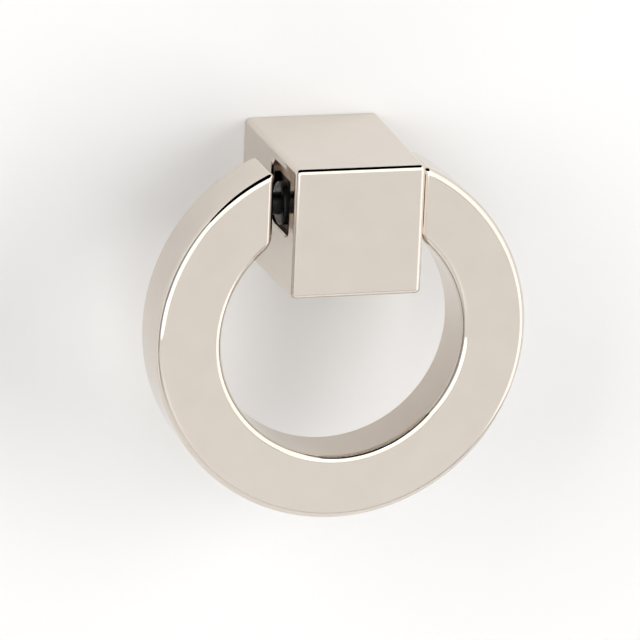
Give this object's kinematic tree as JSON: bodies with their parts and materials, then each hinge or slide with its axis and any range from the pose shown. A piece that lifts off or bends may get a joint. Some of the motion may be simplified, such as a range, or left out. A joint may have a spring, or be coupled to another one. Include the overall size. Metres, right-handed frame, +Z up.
{
  "type": "ring pull handle",
  "caption": "Polished ring pull for a drawer or cabinet door: a square post carries a heavy open ring, which hangs and swings on sprung pins in the post's sides.",
  "frame": {"origin": "mouth of the fixing hole, in the middle of the post's back face, which stands against the door", "axes": "+Z up, +Y into the door along the fixing hole, so the front faces -Y, and +X to the right as seen from the room"},
  "size_m": [0.0508, 0.0243, 0.05],
  "materials": {
    "polished_nickel": "polished nickel plate on solid brass",
    "black_acetal": "moulded, slightly glossy",
    "blackened_steel": "black oxide, oiled",
    "spring_steel": "bright drawn wire"
  },
  "bodies": {
    "post_body": {"post": "polished_nickel", "left_bush": "black_acetal", "right_bush": "black_acetal", "pin_spring": "spring_steel"},
    "ring_body": {"ring": "polished_nickel", "left_pivot_pin": "blackened_steel", "right_pivot_pin": "blackened_steel"}
  },
  "joints": [
    {"name": "ring_swing", "type": "hinge", "parent": "post_body", "child": "ring_body", "pos_m": [0, -0.0172, 0.0024], "axis": [-1, 0, 0], "range_deg": [-17, 197]}
  ]
}
